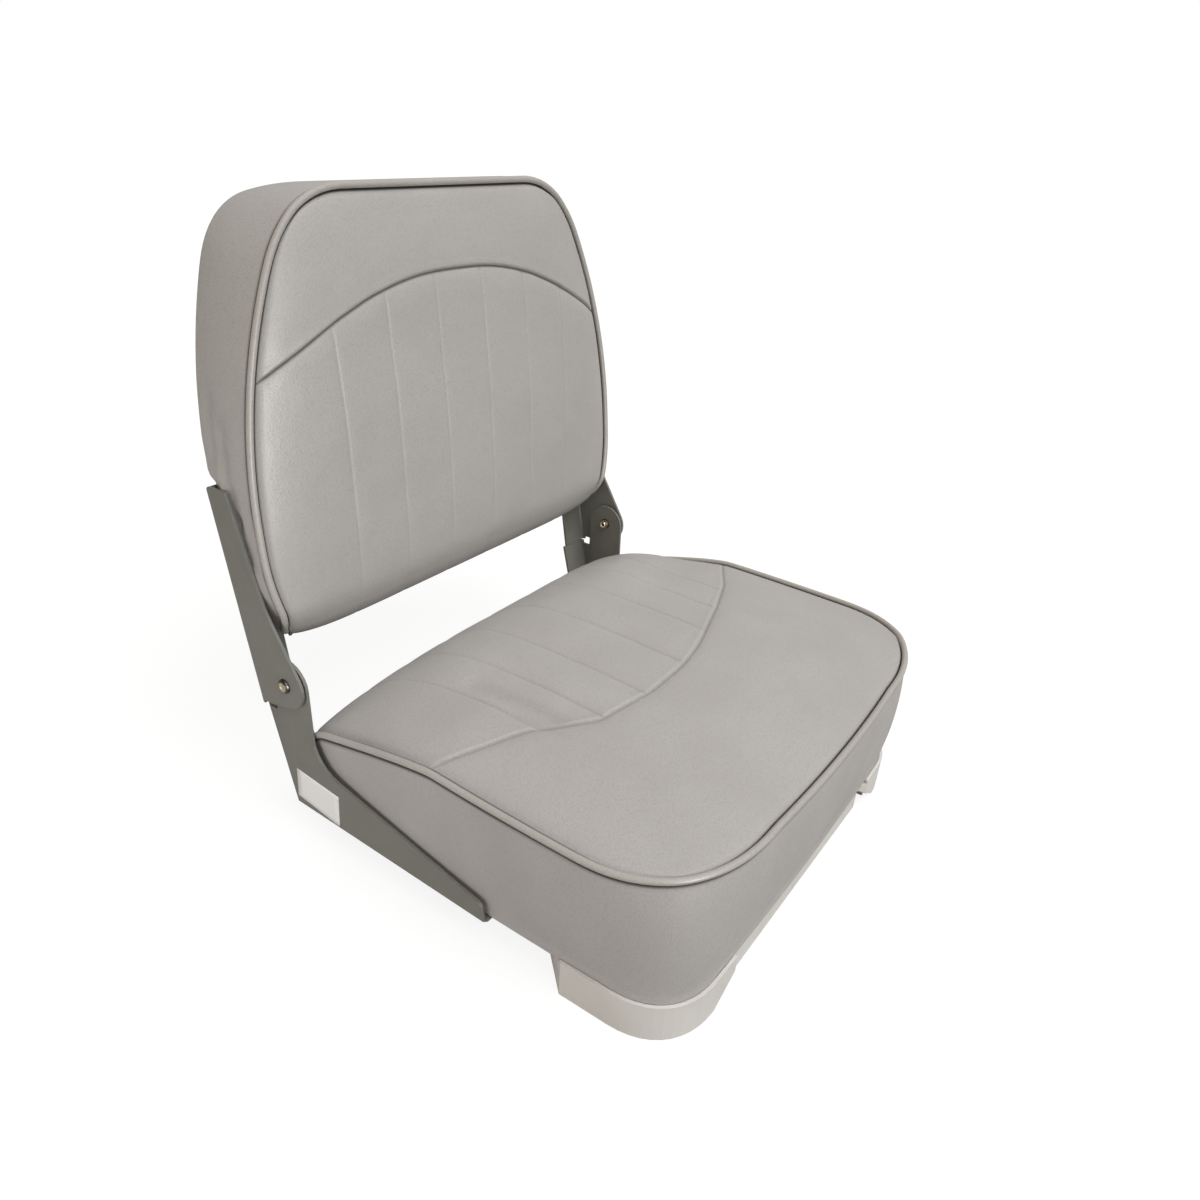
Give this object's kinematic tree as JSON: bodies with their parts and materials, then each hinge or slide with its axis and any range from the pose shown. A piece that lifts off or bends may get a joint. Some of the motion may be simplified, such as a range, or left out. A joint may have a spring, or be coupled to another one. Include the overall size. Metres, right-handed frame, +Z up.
{
  "type": "folding boat seat",
  "caption": "Low-back padded boat seat whose backrest folds forward over the cushion on riveted side brackets, with a ribbed base that bolts to a pedestal",
  "frame": {"origin": "centre of the square of four mounting holes, on the underside of the base's platform", "axes": "+Z up; -Y is the way a sitter faces; +X is to the right seen from the front of the seat looking along +Y, which is the side that the node names call right; x = 0 is the plane of symmetry"},
  "size_m": [0.4234, 0.4681, 0.4857],
  "materials": {
    "grey_vinyl": "grained marine vinyl, satin",
    "piping_vinyl": "smooth vinyl cord, satin",
    "cream_foam": "open cell foam, matte",
    "plywood": "bare sanded plywood",
    "black_plastic": "moulded, matte",
    "pale_plastic": "moulded, lightly grained",
    "grey_paint": "powder coated, satin",
    "rivet_steel": "plated, bright",
    "zinc_steel": "zinc plated"
  },
  "bodies": {
    "seat": {"base_tray": "pale_plastic", "seat_board": "plywood", "seat_foam": "cream_foam", "seat_cover": "grey_vinyl", "seat_piping": "piping_vinyl", "left_lower_bracket": "grey_paint", "right_lower_bracket": "grey_paint", "left_pivot_rivet": "rivet_steel", "right_pivot_rivet": "rivet_steel", "left_pivot_washer": "black_plastic", "right_pivot_washer": "black_plastic", "mount_nut_1": "zinc_steel", "mount_nut_2": "zinc_steel", "mount_nut_3": "zinc_steel", "mount_nut_4": "zinc_steel", "bracket_screw_left_1": "zinc_steel", "bracket_screw_left_2": "zinc_steel", "bracket_screw_left_3": "zinc_steel", "bracket_screw_right_1": "zinc_steel", "bracket_screw_right_2": "zinc_steel", "bracket_screw_right_3": "zinc_steel", "tray_screw_1": "zinc_steel", "tray_screw_2": "zinc_steel", "tray_screw_3": "zinc_steel", "tray_screw_4": "zinc_steel"},
    "backrest": {"back_cover": "grey_vinyl", "back_piping": "piping_vinyl", "back_foam": "cream_foam", "back_frame": "black_plastic", "left_arm": "grey_paint", "right_arm": "grey_paint", "arm_screw_left_1": "zinc_steel", "arm_screw_left_2": "zinc_steel", "arm_screw_right_1": "zinc_steel", "arm_screw_right_2": "zinc_steel"}
  },
  "joints": [
    {"name": "backrest_fold", "type": "hinge", "parent": "seat", "child": "backrest", "pos_m": [0, 0.17, 0.145], "axis": [1, 0, 0], "range_deg": [0, 82]}
  ]
}
